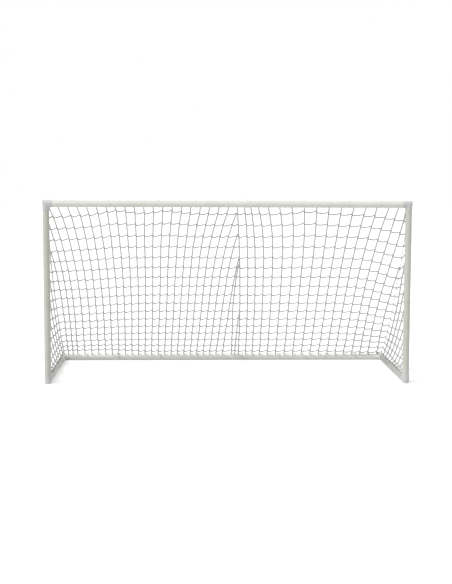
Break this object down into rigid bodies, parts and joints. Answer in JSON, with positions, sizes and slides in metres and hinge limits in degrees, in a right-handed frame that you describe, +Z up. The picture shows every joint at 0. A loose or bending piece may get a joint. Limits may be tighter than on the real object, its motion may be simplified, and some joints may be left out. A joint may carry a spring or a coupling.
{
  "type": "football goal",
  "caption": "Free-standing football goal of push-fit plastic tubes with mitred corner fittings, a ground frame and a square-mesh net that slopes back from the crossbar",
  "frame": {"origin": "on the ground, at the middle of the footprint", "axes": "+X along the crossbar, to the right of someone who looks into the mouth; +Y from the mouth to the back; +Z up"},
  "size_m": [3.8004, 1.5972, 1.9002],
  "materials": {
    "tube_plastic": "smooth off-white satin PVC tube",
    "fitting_plastic": "moulded satin PVC, a little greyer than the tubes",
    "button_plastic": "matt moulded plastic",
    "spring_steel": "bare spring strip",
    "net_cord": "white matt net cord",
    "clip_plastic": "white moulded plastic, satin to matt"
  },
  "bodies": {
    "frame_and_net": {"crossbar_left": "tube_plastic", "crossbar_right": "tube_plastic", "post_left": "tube_plastic", "post_right": "tube_plastic", "side_bar_left": "tube_plastic", "side_bar_right": "tube_plastic", "rear_bar_left": "tube_plastic", "rear_bar_right": "tube_plastic", "top_corner_left": "fitting_plastic", "top_corner_right": "fitting_plastic", "foot_corner_left": "fitting_plastic", "foot_corner_right": "fitting_plastic", "rear_corner_left": "fitting_plastic", "rear_corner_right": "fitting_plastic", "crossbar_coupler": "fitting_plastic", "rear_bar_coupler": "fitting_plastic", "spring_crossbar_left": "spring_steel", "spring_crossbar_right": "spring_steel", "spring_crossbar_middle": "spring_steel", "spring_post_left_top": "spring_steel", "spring_post_left_foot": "spring_steel", "spring_post_right_top": "spring_steel", "spring_post_right_foot": "spring_steel", "spring_side_bar_left_front": "spring_steel", "spring_side_bar_left_rear": "spring_steel", "spring_side_bar_right_front": "spring_steel", "spring_side_bar_right_rear": "spring_steel", "spring_rear_bar_left": "spring_steel", "spring_rear_bar_right": "spring_steel", "spring_rear_bar_middle": "spring_steel", "net_back": "net_cord", "net_left": "net_cord", "net_right": "net_cord", "clip_crossbar_1": "clip_plastic", "clip_crossbar_2": "clip_plastic", "clip_crossbar_3": "clip_plastic", "clip_crossbar_4": "clip_plastic", "clip_rear_bar_1": "clip_plastic", "clip_rear_bar_2": "clip_plastic", "clip_rear_bar_3": "clip_plastic", "clip_post_left_1": "clip_plastic", "clip_post_left_2": "clip_plastic", "clip_post_right_1": "clip_plastic", "clip_post_right_2": "clip_plastic", "clip_side_bar_left": "clip_plastic", "clip_side_bar_right": "clip_plastic"},
    "button_crossbar_left": {"button_crossbar_left": "button_plastic"},
    "button_crossbar_right": {"button_crossbar_right": "button_plastic"},
    "button_crossbar_middle": {"button_crossbar_middle": "button_plastic"},
    "button_post_left_top": {"button_post_left_top": "button_plastic"},
    "button_post_left_foot": {"button_post_left_foot": "button_plastic"},
    "button_post_right_top": {"button_post_right_top": "button_plastic"},
    "button_post_right_foot": {"button_post_right_foot": "button_plastic"},
    "button_side_bar_left_front": {"button_side_bar_left_front": "button_plastic"},
    "button_side_bar_left_rear": {"button_side_bar_left_rear": "button_plastic"},
    "button_side_bar_right_front": {"button_side_bar_right_front": "button_plastic"},
    "button_side_bar_right_rear": {"button_side_bar_right_rear": "button_plastic"},
    "button_rear_bar_left": {"button_rear_bar_left": "button_plastic"},
    "button_rear_bar_right": {"button_rear_bar_right": "button_plastic"},
    "button_rear_bar_middle": {"button_rear_bar_middle": "button_plastic"}
  },
  "joints": [
    {"name": "press_crossbar_left", "type": "slide", "parent": "frame_and_net", "child": "button_crossbar_left", "axis": [0, 0, -1], "range_m": [0, 0.006], "stiffness_N_per_m": 1500, "springref_m": -0.004, "deforming": ["spring_crossbar_left"]},
    {"name": "press_crossbar_right", "type": "slide", "parent": "frame_and_net", "child": "button_crossbar_right", "axis": [0, 0, -1], "range_m": [0, 0.006], "stiffness_N_per_m": 1500, "springref_m": -0.004, "deforming": ["spring_crossbar_right"]},
    {"name": "press_crossbar_middle", "type": "slide", "parent": "frame_and_net", "child": "button_crossbar_middle", "axis": [0, 0, -1], "range_m": [0, 0.006], "stiffness_N_per_m": 1500, "springref_m": -0.004, "deforming": ["spring_crossbar_middle"]},
    {"name": "press_post_left_top", "type": "slide", "parent": "frame_and_net", "child": "button_post_left_top", "axis": [1, 0, 0], "range_m": [0, 0.006], "stiffness_N_per_m": 1500, "springref_m": -0.004, "deforming": ["spring_post_left_top"]},
    {"name": "press_post_left_foot", "type": "slide", "parent": "frame_and_net", "child": "button_post_left_foot", "axis": [1, 0, 0], "range_m": [0, 0.006], "stiffness_N_per_m": 1500, "springref_m": -0.004, "deforming": ["spring_post_left_foot"]},
    {"name": "press_post_right_top", "type": "slide", "parent": "frame_and_net", "child": "button_post_right_top", "axis": [-1, 0, 0], "range_m": [0, 0.006], "stiffness_N_per_m": 1500, "springref_m": -0.004, "deforming": ["spring_post_right_top"]},
    {"name": "press_post_right_foot", "type": "slide", "parent": "frame_and_net", "child": "button_post_right_foot", "axis": [-1, 0, 0], "range_m": [0, 0.006], "stiffness_N_per_m": 1500, "springref_m": -0.004, "deforming": ["spring_post_right_foot"]},
    {"name": "press_side_bar_left_front", "type": "slide", "parent": "frame_and_net", "child": "button_side_bar_left_front", "axis": [1, 0, 0], "range_m": [0, 0.006], "stiffness_N_per_m": 1500, "springref_m": -0.004, "deforming": ["spring_side_bar_left_front"]},
    {"name": "press_side_bar_left_rear", "type": "slide", "parent": "frame_and_net", "child": "button_side_bar_left_rear", "axis": [1, 0, 0], "range_m": [0, 0.006], "stiffness_N_per_m": 1500, "springref_m": -0.004, "deforming": ["spring_side_bar_left_rear"]},
    {"name": "press_side_bar_right_front", "type": "slide", "parent": "frame_and_net", "child": "button_side_bar_right_front", "axis": [-1, 0, 0], "range_m": [0, 0.006], "stiffness_N_per_m": 1500, "springref_m": -0.004, "deforming": ["spring_side_bar_right_front"]},
    {"name": "press_side_bar_right_rear", "type": "slide", "parent": "frame_and_net", "child": "button_side_bar_right_rear", "axis": [-1, 0, 0], "range_m": [0, 0.006], "stiffness_N_per_m": 1500, "springref_m": -0.004, "deforming": ["spring_side_bar_right_rear"]},
    {"name": "press_rear_bar_left", "type": "slide", "parent": "frame_and_net", "child": "button_rear_bar_left", "axis": [0, -1, 0], "range_m": [0, 0.006], "stiffness_N_per_m": 1500, "springref_m": -0.004, "deforming": ["spring_rear_bar_left"]},
    {"name": "press_rear_bar_right", "type": "slide", "parent": "frame_and_net", "child": "button_rear_bar_right", "axis": [0, -1, 0], "range_m": [0, 0.006], "stiffness_N_per_m": 1500, "springref_m": -0.004, "deforming": ["spring_rear_bar_right"]},
    {"name": "press_rear_bar_middle", "type": "slide", "parent": "frame_and_net", "child": "button_rear_bar_middle", "axis": [0, -1, 0], "range_m": [0, 0.006], "stiffness_N_per_m": 1500, "springref_m": -0.004, "deforming": ["spring_rear_bar_middle"]}
  ]
}
